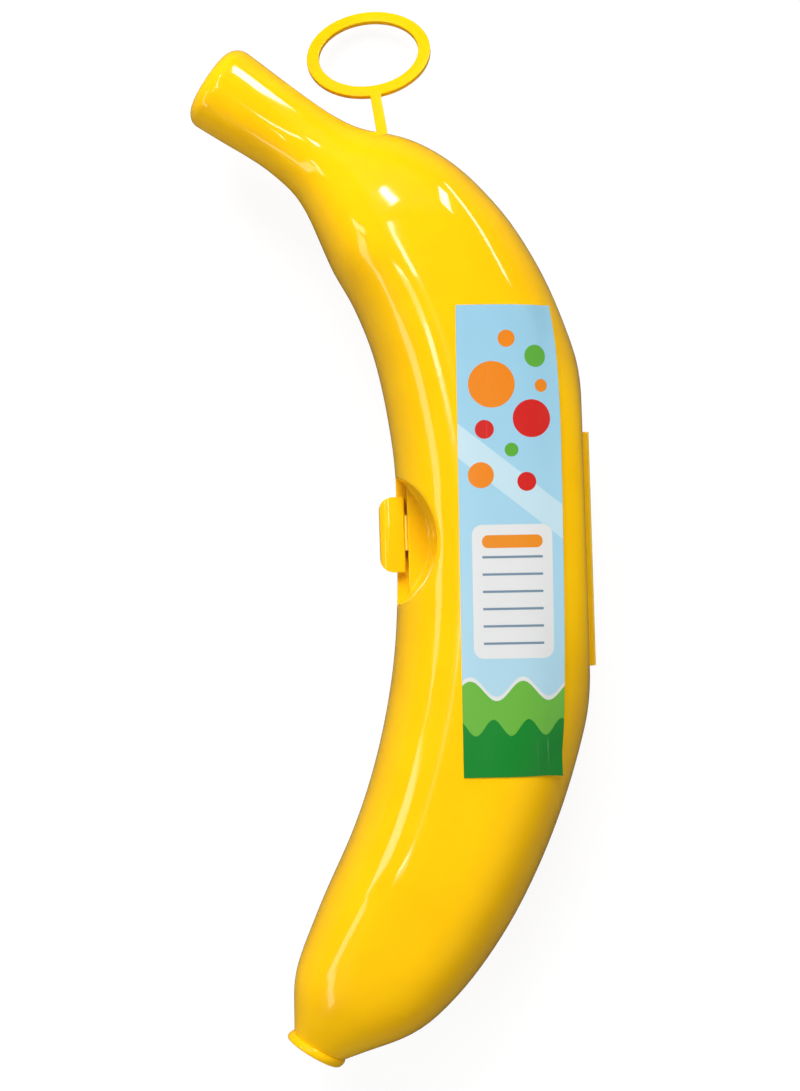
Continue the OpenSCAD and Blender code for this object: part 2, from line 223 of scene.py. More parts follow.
def placed(x, y, z):
    """Points of the bend's frame in the part's frame, in metres."""
    return (np.stack([x, y, z], axis=-1) - ORIGIN) * MM


# Cross-sections

NOWHERE = -1000.0


def flatness(a):
    """Power of the oval at an angle: its front and back are flatter along the body than at both ends."""
    body = ease((a + TIP_ANGLE) / TIP_FADE)
    body = body * ease((NECK_ANGLE - a) / (NECK_ANGLE - SHOULDER_ANGLE + NECK_FADE))
    return mix(END_FLAT, BODY_FLAT, body)


def oval(turns, w, d, n):
    c = np.cos(turns)
    return np.stack([w * np.sign(c) * np.abs(c) ** (2 / n), d * np.sin(turns)], axis=1)


def height_at(u, w, d, n):
    r = np.clip(np.abs(u) / w, 0, 1)
    return d * np.sqrt(1 - r**n)


def turn_at_height(z, d):
    return math.asin(min(z / d, 1.0))


def turn_at_side(u, w, n):
    return math.acos(float(np.clip(np.sign(u) * (abs(u) / w) ** (n / 2), -1, 1)))


def pocket_side(a, radius):
    """Sideways place where a circle round the pocket's middle crosses the cut."""
    (mx, my), (ex, ey) = middle(a), across(a)
    qx, qy = mx - POCKET_X, my - POCKET_Y
    b = qx * ex + qy * ey
    root = b * b - (qx * qx + qy * qy - radius * radius)
    return -b + math.sqrt(root) if root > 0 else NOWHERE


def wall_side(a, w, radius):
    """Sideways place of the pocket's wall on a cut, blended into the body's own side."""
    return float(soft_max(-w, pocket_side(a, radius), POCKET_SOFT))


POCKET_ROUNDS = 8


def wall_top(a, w, d, n, top, radius_at):
    """Sideways place and height where the pocket's drafted wall meets the front, found in a few rounds."""
    for _ in range(POCKET_ROUNDS):
        side = wall_side(a, w, radius_at(top))
        top = height_at(side, w, d, n)
    return side, top


def run_along(points):
    """Length along a line at each of its points."""
    return np.concatenate([[0.0], np.cumsum(np.hypot(*np.diff(points, axis=0).T))])


def points_at(spots, run, points):
    """Points of a line at the given lengths along it."""
    return np.stack([np.interp(spots, run, points[:, k]) for k in (0, 1)], axis=1)


CORNER_STEPS = (-1.0, -0.6, -0.25, 0.0, 0.25, 0.6, 1.0)
GAP_STEPS = (0.33, 0.67)


def corner_samples(corners, reaches):
    """Places along a line, close together round its corners."""
    spots = []
    for i, (at, (back, ahead)) in enumerate(zip(corners, reaches)):
        spots += [at + f * (back if f < 0 else ahead) for f in CORNER_STEPS]
        if i + 1 < len(corners):
            gap = corners[i + 1] - reaches[i + 1][0] - (at + ahead)
            spots += [at + ahead + gap * f for f in GAP_STEPS]
    return spots


SOFT_STEP = 0.04
SOFT_LEAST = 1e-4
SOFT_END = 2.5
WEIGHT_LEAST = 1e-6


def softened(points, spots, widths):
    """Points at the given places along a line, averaged over a short length to round its corners."""
    run = run_along(points)
    fine = np.arange(0.0, run[-1], SOFT_STEP)
    dense = points_at(fine, run, points)
    out = []
    for s, width in zip(spots, widths):
        width = max(min(width, (run[-1] - s) / SOFT_END, s / SOFT_END), SOFT_LEAST)
        weight = np.exp(-0.5 * ((fine - s) / width) ** 2)
        if weight.sum() < WEIGHT_LEAST:
            out.append(points_at([s], run, points)[0])
        else:
            out.append(weight @ dense / weight.sum())
    return np.array(out)


# Outside line: even steps over the front, then a flank and the pocket's wall, foot and shelf edge
OUTER_FINE = 500
BASE_STEPS = 44
FLANK = 4.0
FLANK_SPOTS = [1.0, 1.7]
CUT_LEAST = 1e-4
WALL_LEAST = 0.05
TOP_REACH = 1.8
WALL_REACH = 1.5
FOOT_REACH = 1.3
SHELF_REACH = 0.45
OUTER_WIDTHS = [0.2] * len(FLANK_SPOTS)
OUTER_WIDTHS += [0.55] * len(CORNER_STEPS) + [0.35] * len(GAP_STEPS)
OUTER_WIDTHS += [0.4] * len(CORNER_STEPS) + [0.2] * len(GAP_STEPS)
OUTER_WIDTHS += [0.13] * len(CORNER_STEPS) + [0.01]


def outer_line(a, w, d, pocketed):
    """Outside of a shell on one cut, from hinge side to clip side, over the pocket if there is one."""
    low, n = HALF_GAP + EDGE, flatness(a)
    first = turn_at_height(low, d)
    last = math.pi - first
    foot = wall_side(a, w, POCKET_R) if pocketed else -w
    top = height_at(foot, w, d, n)
    active = pocketed and foot > -w + CUT_LEAST and top > low + WALL_LEAST
    if active:
        side, top = wall_top(a, w, d, n, top, lambda z: POCKET_R + max(z - SHELF_H, 0) * POCKET_DRAFT)
        last = min(last, turn_at_side(side, w, n))
    turns = np.linspace(first, last, OUTER_FINE)
    line = oval(turns, w, d, n)
    if active:
        (mx, _), (ex, _) = middle(a), across(a)
        shelf = min(foot, (SHELF_X - mx) / ex)
        floor_z = min(SHELF_H, top)
        ends = np.array([[foot, floor_z], [shelf, floor_z], [shelf, low]])
    else:
        ends = np.repeat(line[-1:], 3, axis=0)
    run = run_along(line)
    base_end = run[-1] - FLANK
    base = oval(np.linspace(first, np.interp(base_end, run, turns), BASE_STEPS), w, d, n)
    tail = np.concatenate([points_at([base_end], run, line), line[run > base_end], ends])
    legs = np.hypot(*np.diff(np.concatenate([line[-1:], ends]), axis=0).T)
    corners = FLANK + np.concatenate([[0.0], np.cumsum(legs)])
    reaches = [
        (TOP_REACH, min(WALL_REACH, legs[0] / 2)),
        (min(FOOT_REACH, legs[0] / 2), min(FOOT_REACH, legs[1] / 2)),
        (min(SHELF_REACH, legs[1] / 2), min(SHELF_REACH, legs[2] / 2)),
    ]
    spots = FLANK_SPOTS + corner_samples(corners[:3], reaches) + [corners[3]]
    if active:
        return np.concatenate([base, softened(tail, spots, OUTER_WIDTHS)])
    return np.concatenate([base, points_at(spots, run_along(tail), tail)])


# Inside line: even steps, then a short flank and the back of the pocket's wall
INNER_FINE = 400
INNER_STEPS = 36
INNER_FLANK = 2.0
INNER_FLANK_SPOTS = (0.5, 0.75, 1.0)
INNER_WALL_SPOTS = (0.05, 0.12, 0.25, 0.6, 1.0)
INNER_WIDTHS = [0.3] * 7 + [0.01]
INNER_CUT_LEAST = 0.02
INNER_WALL_LEAST = 0.3


def inner_line(a, w, d, low, clip_low, pocketed):
    """Inside of a shell on one cut, from the hinge side to the clip side, round the pocket's back."""
    n = flatness(a)
    first = turn_at_height(max(low, 0.0), d)
    last = math.pi - turn_at_height(max(clip_low, 0.0), d)
    foot = wall_side(a, w, POCKET_R + WALL) if pocketed else -w
    top = height_at(foot, w, d, n)
    active = pocketed and foot > -w + INNER_CUT_LEAST and top > clip_low + INNER_WALL_LEAST
    if active:
        side, _ = wall_top(a, w, d, n, top, lambda z: POCKET_R + WALL + (z + 1) * POCKET_DRAFT)
        last = min(last, turn_at_side(side, w, n))
    turns = np.linspace(first, last, INNER_FINE)
    line = oval(turns, w, d, n)
    end = np.array([[foot, HALF_GAP]]) if active else line[-1:]
    run = run_along(line)
    base_end = run[-1] - min(INNER_FLANK, run[-1] / 4)
    base = oval(np.linspace(first, np.interp(base_end, run, turns), INNER_STEPS), w, d, n)
    tail = np.concatenate([points_at([base_end], run, line), line[run > base_end], end])
    leg = float(np.hypot(*(end[0] - line[-1])))
    at = run[-1] - base_end
    spots = [f * at for f in INNER_FLANK_SPOTS] + [at + f * leg for f in INNER_WALL_SPOTS]
    if active:
        return np.concatenate([base, softened(tail, spots, INNER_WIDTHS)])
    return np.concatenate([base, points_at(spots, run_along(tail), tail)])


# Shells

# Where the stretches of cuts end, in degrees, and how far apart their cuts are
TIP_STRETCH = 5.0
POCKET_FROM = -6.6
POCKET_TO = 9.0
SHOULDER_FROM = 27.0
TIP_STEP = 0.3
BODY_STEP = 0.9
POCKET_STEP = 0.16
NECK_STEP = 0.5
TIP_WALL = 0.3
LIP_CUTS = 13
ROUND_CUTS = 10


def shell_cuts():
    """Cuts from tip to stem: angle, turn of the stem's rounding, inset, then skin, rim step and hollow.

    Skin and rim step are there (1) or not (0). The hollow is open (1), closed at the wall's inside (0)
    or closed as far as the rim's step (-1).
    """
    tip, end = -TIP_ANGLE, STEM_ANGLE - bend_angle(STEM_ROUND)
    hollow_from = tip + bend_angle(TIP_WALL)
    cuts = [(tip - bend_angle(LIP_T), 0, 0, 0, 0, 0)]
    for b in np.radians(np.linspace(180, 0, LIP_CUTS)):
        cuts.append((tip - bend_angle(LIP_T / 2 * (1 - math.cos(b))), 0, -LIP_H * math.sin(b), 1, 0, 0))
    cuts += [(tip, 0, 0, 1, 1, 0), (hollow_from, 0, 0, 1, 1, 0), (hollow_from, 0, 0, 1, 1, 1)]
    stretches = [
        (hollow_from, tip + TIP_STRETCH, TIP_STEP),
        (tip + TIP_STRETCH, POCKET_FROM, BODY_STEP),
        (POCKET_FROM, POCKET_TO, POCKET_STEP),
        (POCKET_TO, SHOULDER_FROM, BODY_STEP),
        (SHOULDER_FROM, end, NECK_STEP),
    ]
    for start, stop, step in stretches:
        n = round((stop - start) / step)
        cuts += [(start + (stop - start) * k / n, 0, 0, 1, 1, 1) for k in range(1, n + 1)]
    cuts += [(end, b, 0, 1, 1, 1) for b in np.radians(np.linspace(90 / ROUND_CUTS, 90, ROUND_CUTS))]
    cuts += [(end, math.pi / 2, 0, skin, 1, hollow) for skin, hollow in ((1, 0), (1, -1), (0, -1))]
    return cuts


POCKET_MID = 1.2
POCKET_SPAN = 9.0
LEDGE_LEAST = 0.3

# Rim's small chamfer as steps inwards and heights; the first point keeps the flat rim's shading flat
RIM_EDGE = np.array([
    [1.6 * EDGE, HALF_GAP],
    [EDGE, HALF_GAP],
    [0.3 * EDGE, HALF_GAP + 0.3 * EDGE],
])


def shell_ring(cut, side):
    """Closed line round the wall of one half shell on a cut: outside, rim, inside and the other rim."""
    a, b, lip, skin, step, hollow = cut
    front = side > 0
    rim_in = WALL - TONGUE_T - (TONGUE_GAP if front else 0.0)
    rim_z = TONGUE_H + TONGUE_GAP if front else -TONGUE_H
    stem_share = np.clip((a - NECK_ANGLE) / (STEM_ANGLE - bend_angle(STEM_ROUND) - NECK_ANGLE), 0, 1)
    by_pocket = b == 0 and abs(a - POCKET_MID) < POCKET_SPAN

    def angle_at(inset):
        return a - bend_angle(inset) * stem_share + bend_angle(STEM_ROUND * math.sin(b))

    def spread(inset, points):
        u, z = points[:, 0], points[:, 1]
        at = angle_at(inset)
        (mx, my), (ex, ey) = middle(at), across(at)
        x = soft_min(mx + u * ex, FLAT_X - inset - np.abs(z) * FLAT_DRAFT, FLAT_SOFT)
        return placed(x, my + u * ey, side * z)

    def size(inset):
        at = angle_at(inset)
        cut_in = inset + STEM_ROUND * (1 - math.cos(b))
        return at, half_width(at) - cut_in, half_depth(at) - cut_in

    at, w, d = size(0)
    line = outer_line(at, w - lip, d - lip, front and by_pocket)
    foot = line[-1, 0]
    outside = np.concatenate([(w - lip, 0) + RIM_EDGE * (-1, 1), line, (foot, 0) + RIM_EDGE[::-1]])
    if not skin:
        outside = np.array([[0, HALF_GAP]] * len(outside))

    at_in, w_in, d_in = size(WALL)
    _, w_step, _ = size(rim_in)
    near = hollow == 1 and by_pocket
    ledge = pocket_side(at_in, POCKET_R + WALL) if near else NOWHERE
    on_ledge = ledge > -w_in + LEDGE_LEAST
    low = rim_z if front else HALF_GAP
    clip_low = WALL if on_ledge and not front else low
    step_z = rim_z if step else HALF_GAP
    inside = inner_line(at_in, w_in, d_in, low, clip_low, front and near)
    if hollow < 1:
        inside = np.array([[0, step_z]] * len(inside))
    wall_in = rim_in if hollow < 0 else WALL
    w_step = w_step * step * (hollow >= 0)
    hinge_steps = np.array([[w_step, HALF_GAP], [w_step, step_z], [inside[0, 0], step_z]])
    clip_steps = np.array([[-w_step, HALF_GAP], [-w_step, step_z], [inside[-1, 0], step_z]])
    if on_ledge and front:
        clip_steps = np.repeat(inside[-1:], 3, axis=0)
    elif on_ledge:
        clip_steps = np.array([[ledge, HALF_GAP], [ledge, HALF_GAP], [ledge, WALL]])
    clip_inset = WALL if on_ledge else rim_in
    return np.concatenate([
        spread(0, outside),
        spread(clip_inset, clip_steps[:2]),
        spread(wall_in, clip_steps[2:]),
        spread(wall_in, inside[::-1]),
        spread(wall_in, hinge_steps[2:]),
        spread(rim_in, hinge_steps[1::-1]),
    ])


# Distances in metres below which points count as one, and angles in degrees above which an edge stays sharp
POINT_WELD = 1e-7
SHELL_WELD = 8e-6
MOULDED_SHARP = 35.0
THIN_SHARP = 40.0


def linked_piece(name, mesh, sharp):
    """Object for a finished mesh, shaded smooth up to an angle."""
    mesh.shade_smooth()
    mesh.set_sharp_from_angle(angle=math.radians(sharp))
    made = bpy.data.objects.new(name, mesh)
    bpy.context.scene.collection.objects.link(made)
    return made


def new_piece(name, verts, faces, merge=POINT_WELD):
    """Mesh object from points and faces, with doubles merged, faces turned outwards and smooth shading."""
    mesh = bpy.data.meshes.new(name)
    mesh.from_pydata([tuple(v) for v in verts], [], faces)
    bm = bmesh.new()
    bm.from_mesh(mesh)
    bmesh.ops.remove_doubles(bm, verts=bm.verts, dist=merge)
    bmesh.ops.dissolve_degenerate(bm, edges=bm.edges, dist=merge)
    bmesh.ops.recalc_face_normals(bm, faces=bm.faces)
    bm.to_mesh(mesh)
    bm.free()
    return linked_piece(name, mesh, MOULDED_SHARP)


def tube_faces(rings, count):
    """Quads between neighbouring closed rings of points."""
    faces = []
    for i in range(0, (rings - 1) * count, count):
        j = i + count
        for k in range(count):
            n = (k + 1) % count
            faces.append((i + k, i + n, j + n, j + k))
    return faces


def make_shell(name, side):
    rings = [shell_ring(cut, side) for cut in shell_cuts()]
    return new_piece(name, np.concatenate(rings), tube_faces(len(rings), len(rings[0])), SHELL_WELD)


front_shell = make_shell("front_shell_skin", 1)
rear_shell = make_shell("rear_shell_skin", -1)
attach(front_shell, "lid")
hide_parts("front_shell")
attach(rear_shell, "rear")
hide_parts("rear_shell")


# Hinge leaves and catch rib

PULL_DEPTH = 0.4


def prism(name, profile, run, shrink):
    """Piece with one closed profile (x, z) carried along Y; shrink pulls it in at each place of the run."""
    profile = np.array(profile)
    centre = profile.mean(axis=0)
    rings = []
    for y, s in zip(run, shrink):
        pull = np.sign(profile - centre) * np.minimum(1, np.abs(profile - centre) / PULL_DEPTH)
        outline = profile - s * pull
        rings.append(placed(outline[:, 0], np.full(len(outline), y), outline[:, 1]))
    n = len(profile)
    faces = tube_faces(len(rings), n)
    faces += [tuple(range(n)), tuple(range((len(rings) - 1) * n, len(rings) * n))]
    return new_piece(name, np.concatenate(rings), faces)


def arc_points(cx, cz, r, start, stop, steps):
    t = np.radians(np.linspace(start, stop, steps + 1))
    return [(cx + r * math.cos(v), cz + r * math.sin(v)) for v in t]


def end_run(length, middle_y, round_r):
    """Places along Y of a rounded bar, with how far its profile is pulled in at each."""
    near = []
    for t in np.radians([90, 60, 30, 0]):
        near.append((-length / 2 + round_r * (1 - math.sin(t)), round_r * (1 - math.cos(t))))
    run = [(middle_y + y, s) for y, s in near] + [(middle_y - y, s) for y, s in near[::-1]]
    return [p[0] for p in run], [p[1] for p in run]


LEAF_ROOT = 0.5
ROOT_SLANT = 0.4
FILM_SEAT = 0.55
LEAF_EDGE = 0.45
LEAF_END = 0.35
SEAT_FROM = 174
SEAT_TO = 95
LEAF_ARC_STEPS = 6
CATCH_ARC_STEPS = 4


def make_leaf(name, side):
    """Hinge leaf on one side of the parting plane, hollowed towards the film and slanted at its root."""
    tip = FLAT_X + LEAF_REACH
    profile = [(FLAT_X - LEAF_ROOT, HALF_GAP + ROOT_SLANT), (FLAT_X, HALF_GAP)]
    profile += [(HINGE_X - FILM_SEAT, HALF_GAP)]
    profile += arc_points(HINGE_X, 0, FILM_SEAT, SEAT_FROM, SEAT_TO, LEAF_ARC_STEPS)
    profile += arc_points(tip - LEAF_EDGE, LEAF_T - LEAF_EDGE, LEAF_EDGE, 0, 90, LEAF_ARC_STEPS)
    profile += [(FLAT_X - LEAF_ROOT, LEAF_T)]
    run, shrink = end_run(HINGE_LEN, HINGE_Y, LEAF_END)
    return prism(name, [(x, side * z) for x, z in profile], run, shrink)


CATCH_ROOT_X = RIM_X + 1.2
CATCH_TOP_X = CATCH_X + 0.9
CATCH_TOP_Z = -0.3
CATCH_NOSE_Z = -1.3
CATCH_NOSE_R = 0.35
CATCH_EDGE = 0.2
CATCH_END = 0.3


def make_catch():
    """Rib under the rear rim that the clip's nose snaps behind."""
    profile = [(CATCH_ROOT_X, CATCH_TOP_Z), (CATCH_TOP_X, CATCH_TOP_Z)]
    profile += arc_points(CATCH_X + CATCH_NOSE_R, CATCH_NOSE_Z, CATCH_NOSE_R, 110, 180, CATCH_ARC_STEPS)
    profile += arc_points(CATCH_X + CATCH_EDGE, CATCH_EDGE - CATCH_Z, CATCH_EDGE, 180, 270, CATCH_ARC_STEPS)
    profile += [(CATCH_ROOT_X, -CATCH_Z)]
    return prism("catch_rib", profile, *end_run(CATCH_LEN, LATCH_Y, CATCH_END))


front_leaf = make_leaf("front_hinge_leaf", 1)
rear_leaf = make_leaf("rear_hinge_leaf", -1)
catch_rib = make_catch()

for piece, body in ((front_leaf, "lid"), (rear_leaf, "rear"), (catch_rib, "rear")):
    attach(piece, body)


# Label

PROBE = 0.1


def front_height(x, y):
    a = np.degrees(np.arctan2(y, x))
    u = np.hypot(x, y) - BEND_R - np.interp(a, FINE, SET_OUT)
    return height_at(u, half_width(a), half_depth(a), flatness(a))


def front_normal(x, y):
    dx = (front_height(x + PROBE, y) - front_height(x - PROBE, y)) / (2 * PROBE)
    dy = (front_height(x, y + PROBE) - front_height(x, y - PROBE)) / (2 * PROBE)
    n = np.stack([-dx, -dy, np.ones_like(dx)], axis=-1)
    return n / np.linalg.norm(n, axis=-1, keepdims=True)


LABEL_COLS = 40
LABEL_ROWS = 120
LABEL_SUBSTEPS = 4
PAPER_T = 0.13
LABEL_CLEAR = 0.07

# Loose corner and uneven edges; shares of the label's width and length, heights in millimetres
LOOSE_FROM = 0.74
LOOSE_WIDTH = 0.26
LOOSE_LENGTH = 0.05
LOOSE_START = 0.9
LOOSE_RISE = 0.2
RIPPLE_RISE = 0.025
RIPPLE_RATE = 41
RIPPLE_FADE = 6


def label_grid():
    """Places of the label's rows and columns, laid from its middle line to both sides by its own width."""
    turn = math.radians(LABEL_TURN)
    along, side = (math.sin(turn), math.cos(turn)), (math.cos(turn), -math.sin(turn))
    t = np.linspace(-LABEL_L / 2, LABEL_L / 2, LABEL_ROWS + 1)
    small = LABEL_W / 2 / (LABEL_COLS / 2) / LABEL_SUBSTEPS
    halves = []
    for way in (-1, 1):
        x = BEND_R + LABEL_OUT + t * along[0]
        y = LABEL_UP + t * along[1]
        columns = [(x, y)]
        for k in range(LABEL_COLS // 2 * LABEL_SUBSTEPS):
            n = front_normal(x, y)
            slope = -(n[:, 0] * side[0] + n[:, 1] * side[1]) / n[:, 2]
            go = way * small / np.sqrt(1 + slope**2)
            x, y = x + go * side[0], y + go * side[1]
            if k % LABEL_SUBSTEPS == LABEL_SUBSTEPS - 1:
                columns.append((x, y))
        halves.append(columns)
    columns = halves[0][:0:-1] + halves[1]
    return [np.stack([c[i] for c in columns], axis=1) for i in (0, 1)]


def label_lift(s, v):
    """Height of the label's back over the front at shares of its width and length."""
    corner = np.clip((s - LOOSE_FROM) / LOOSE_WIDTH, 0, 1) * LABEL_W / 10
    corner = corner + np.clip((LOOSE_LENGTH - v) / LOOSE_LENGTH, 0, 1) - LOOSE_START
    lift = LABEL_CLEAR + LOOSE_RISE * np.clip(corner, 0, None) ** 2
    return lift + RIPPLE_RISE * (1 + np.sin(v * RIPPLE_RATE + 2 * s)) * np.abs(2 * s - 1) ** RIPPLE_FADE


def make_label():
    """Paper sheet over the front, with one loose corner and slightly uneven edges."""
    x, y = label_grid()
    s = np.linspace(0, 1, LABEL_COLS + 1)[None, :]
    v = np.linspace(0, 1, LABEL_ROWS + 1)[:, None]
    lift = label_lift(s, v)
    normal = front_normal(x, y)
    base = np.stack([x, y, front_height(x, y)], axis=-1)
    low = base + normal * lift[..., None]
    high = base + normal * (lift + PAPER_T)[..., None]
    verts = [placed(g[..., 0], g[..., 1], g[..., 2]).reshape(-1, 3) for g in (high, low)]
    cols, n = LABEL_COLS + 1, (LABEL_COLS + 1) * (LABEL_ROWS + 1)
    top = [(r * cols + c, r * cols + c + 1, (r + 1) * cols + c + 1, (r + 1) * cols + c)
           for r in range(LABEL_ROWS) for c in range(LABEL_COLS)]
    under = [tuple(n + i for i in f[::-1]) for f in top]
    rim = list(range(cols)) + [r * cols + cols - 1 for r in range(1, LABEL_ROWS + 1)]
    rim += [LABEL_ROWS * cols + c for c in range(cols - 2, -1, -1)]
    rim += [r * cols for r in range(LABEL_ROWS - 1, 0, -1)]
    edge = [(n + p, n + q, q, p) for p, q in zip(rim, rim[1:] + rim[:1])]
    mesh = bpy.data.meshes.new("label_sheet")
    mesh.from_pydata([tuple(p) for p in np.concatenate(verts)], [], top + under + edge)
    uv = mesh.uv_layers.new(name="print")
    places = np.stack([np.broadcast_to(s, x.shape), np.broadcast_to(v, x.shape)], axis=-1).reshape(-1, 2)
    for loop in mesh.loops:
        uv.data[loop.index].uv = places[loop.vertex_index % n]
    for polygon in mesh.polygons:
        polygon.material_index = 0 if polygon.index < len(top) else 1
    return linked_piece("label_sheet", mesh, THIN_SHARP)


label = make_label()
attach(label, "lid")
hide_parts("label")


# Clip and ring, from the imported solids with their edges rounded

CORNER_WELD = 1e-6
FLAT_ANGLE = 1.5
EDGE_ANGLE = 28


def rounded_copy(node, name, width, segments):
    """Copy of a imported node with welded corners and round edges."""
    mesh = frame["nodes"][node].data.copy()
    mesh.name = name
    mesh.materials.clear()
    bm = bmesh.new()
    bm.from_mesh(mesh)
    bmesh.ops.remove_doubles(bm, verts=bm.verts, dist=CORNER_WELD)
    bmesh.ops.dissolve_limit(bm, angle_limit=math.radians(FLAT_ANGLE), verts=bm.verts, edges=bm.edges)
    least = math.radians(EDGE_ANGLE)
    sharp = [e for e in bm.edges if e.is_manifold and e.calc_face_angle(0.0) > least]
    bmesh.ops.bevel(bm, geom=sharp, offset=width * MM, offset_type="OFFSET", segments=segments, profile=0.5,
                    affect="EDGES", clamp_overlap=True)
    bmesh.ops.recalc_face_normals(bm, faces=bm.faces)
    bm.to_mesh(mesh)
    bm.free()
    return linked_piece(name, mesh, THIN_SHARP)


ROOT_ZONE = 2.5
ROOT_STRETCH = 0.7


def seat_ring(points):
    """Lengthen the stalk at its root, so that it ends inside the rear shell's wall."""
    turn, lean = math.radians(RING_TURN), math.radians(RING_LEAN)
    stalk = Vector((-math.sin(turn) * math.cos(lean), math.cos(turn) * math.cos(lean), -math.sin(lean)))
    root = min(v.co.dot(stalk) for v in points)
    for v in points:
        if v.co.dot(stalk) < root + ROOT_ZONE * MM:
            v.co -= stalk * ROOT_STRETCH * MM


CLIP_ROUND = 0.4
CLIP_ROUND_STEPS = 4
RING_ROUND = 0.25
RING_ROUND_STEPS = 3
clip = rounded_copy("latch_clip", "snap_clip", CLIP_ROUND, CLIP_ROUND_STEPS)
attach(clip, "latch")
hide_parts("latch_clip")
ring = rounded_copy("hang_ring", "hanging_ring", RING_ROUND, RING_ROUND_STEPS)
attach(ring, "rear")
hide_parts("hang_ring")
seat_ring(ring.data.vertices)


# Materials


def add_node(tree, kind, inputs=None, **settings):
    """New node with its settings made first, then its inputs linked or set."""
    made = tree.nodes.new(kind)
    for key, value in settings.items():
        setattr(made, key, value)
    for key, value in (inputs or {}).items():
        if isinstance(value, bpy.types.NodeSocket):
            tree.links.new(value, made.inputs[key])
        else:
            made.inputs[key].default_value = value
    return made


def calc(tree, operation, *values):
    return add_node(tree, "ShaderNodeMath", dict(enumerate(values)), operation=operation).outputs[0]


def ramp(tree, value, low, high):
    fields = {"Value": value, "From Min": low, "From Max": high}
    return add_node(tree, "ShaderNodeMapRange", fields, interpolation_type="SMOOTHSTEP").outputs["Result"]


def noise(tree, where, scale, detail):
    fields = {"Vector": where, "Scale": scale, "Detail": detail}
    return add_node(tree, "ShaderNodeTexNoise", fields).outputs["Fac"]


def tinted(tree, mask, under, over):
    return add_node(tree, "ShaderNodeMix", {0: mask, 6: under, 7: over}, data_type="RGBA").outputs[2]


def new_group(name, inputs, outputs):
    group = bpy.data.node_groups.new(name, "ShaderNodeTree")
    for field, value in inputs:
        socket = group.interface.new_socket(name=field, in_out="INPUT", socket_type="NodeSocketFloat")
        socket.default_value = value
    for field in outputs:
        group.interface.new_socket(name=field, in_out="OUTPUT", socket_type="NodeSocketFloat")
    return group, group.nodes.new("NodeGroupInput").outputs, group.nodes.new("NodeGroupOutput").inputs


FINE_SHARE = 0.12


def moulding_grain():
    """Fine ripple of a moulded or coated skin and the slow waviness under it."""
    fields = [("Fineness", 700.0), ("Waviness", 45.0)]
    group, given, result = new_group("moulding_grain", fields, ["Height", "Flow"])
    where = add_node(group, "ShaderNodeTexCoord").outputs["Object"]
    fine = noise(group, where, given["Fineness"], 2.0)
    slow = noise(group, where, given["Waviness"], 2.0)
    group.links.new(calc(group, "MULTIPLY_ADD", fine, FINE_SHARE, slow), result["Height"])
    group.links.new(slow, result["Flow"])
    return group


def handling_marks():
    """Hairline scratches in two directions and faint smudges, left by hands and bags."""
    fields = [("Scratches", 1.0), ("Smudges", 1.0)]
    group, given, result = new_group("handling_marks", fields, ["Scratch", "Smudge"])
    where = add_node(group, "ShaderNodeTexCoord").outputs["Object"]
    lines = []
    for turn, length in ((0.5, 26.0), (-0.9, 34.0)):
        stretch = {"Vector": where, "Rotation": (0.3, 0.2, turn), "Scale": (2600.0, length, 400.0)}
        laid = add_node(group, "ShaderNodeMapping", stretch).outputs[0]
        lines.append(ramp(group, noise(group, laid, 1.0, 1.0), 0.69, 0.76))
    patch = noise(group, where, 38.0, 3.0)
    both = calc(group, "MAXIMUM", lines[0], lines[1])
    scratch = calc(group, "MULTIPLY", both, ramp(group, patch, 0.45, 0.68))
    scratch = calc(group, "MULTIPLY", scratch, given["Scratches"])
    cloud = noise(group, where, 95.0, 4.0)
    smudge = calc(group, "MULTIPLY", ramp(group, cloud, 0.5, 0.75), given["Smudges"])
    group.links.new(scratch, result["Scratch"])
    group.links.new(smudge, result["Smudge"])
    return group


GRAIN = moulding_grain()
MARKS = handling_marks()

# What the shared effects add to roughness and height, and depths of relief in metres
SCRATCH_ROUGH = 0.16
SMUDGE_ROUGH = 0.05
SCRATCH_HEIGHT = -0.05
PLASTIC_DEPTH = 0.0006
PRINT_ROUGH = 0.34
PRINT_SMUDGE_ROUGH = 0.12
PRINT_WEAR = 0.35
PRINT_RELIEF = 0.12
PRINT_DEPTH = 0.0005
PAPER_RELIEF = 0.3
PAPER_DEPTH = 0.0004
PAPER_ROUGH = 0.8


def new_material(name):
    material = bpy.data.materials.new(name)
    material.use_nodes = True
    return material, material.node_tree, material.node_tree.nodes["Principled BSDF"].inputs


def use_grain(tree, fineness, waviness):
    fields = {"Fineness": fineness, "Waviness": waviness}
    return add_node(tree, "ShaderNodeGroup", fields, node_tree=GRAIN).outputs


def use_marks(tree, scratches, smudges):
    fields = {"Scratches": scratches, "Smudges": smudges}
    return add_node(tree, "ShaderNodeGroup", fields, node_tree=MARKS).outputs


def add_relief(tree, skin, height, strength, distance):
    fields = {"Height": height, "Strength": strength, "Distance": distance}
    relief = add_node(tree, "ShaderNodeBump", fields)
    tree.links.new(relief.outputs["Normal"], skin["Normal"])


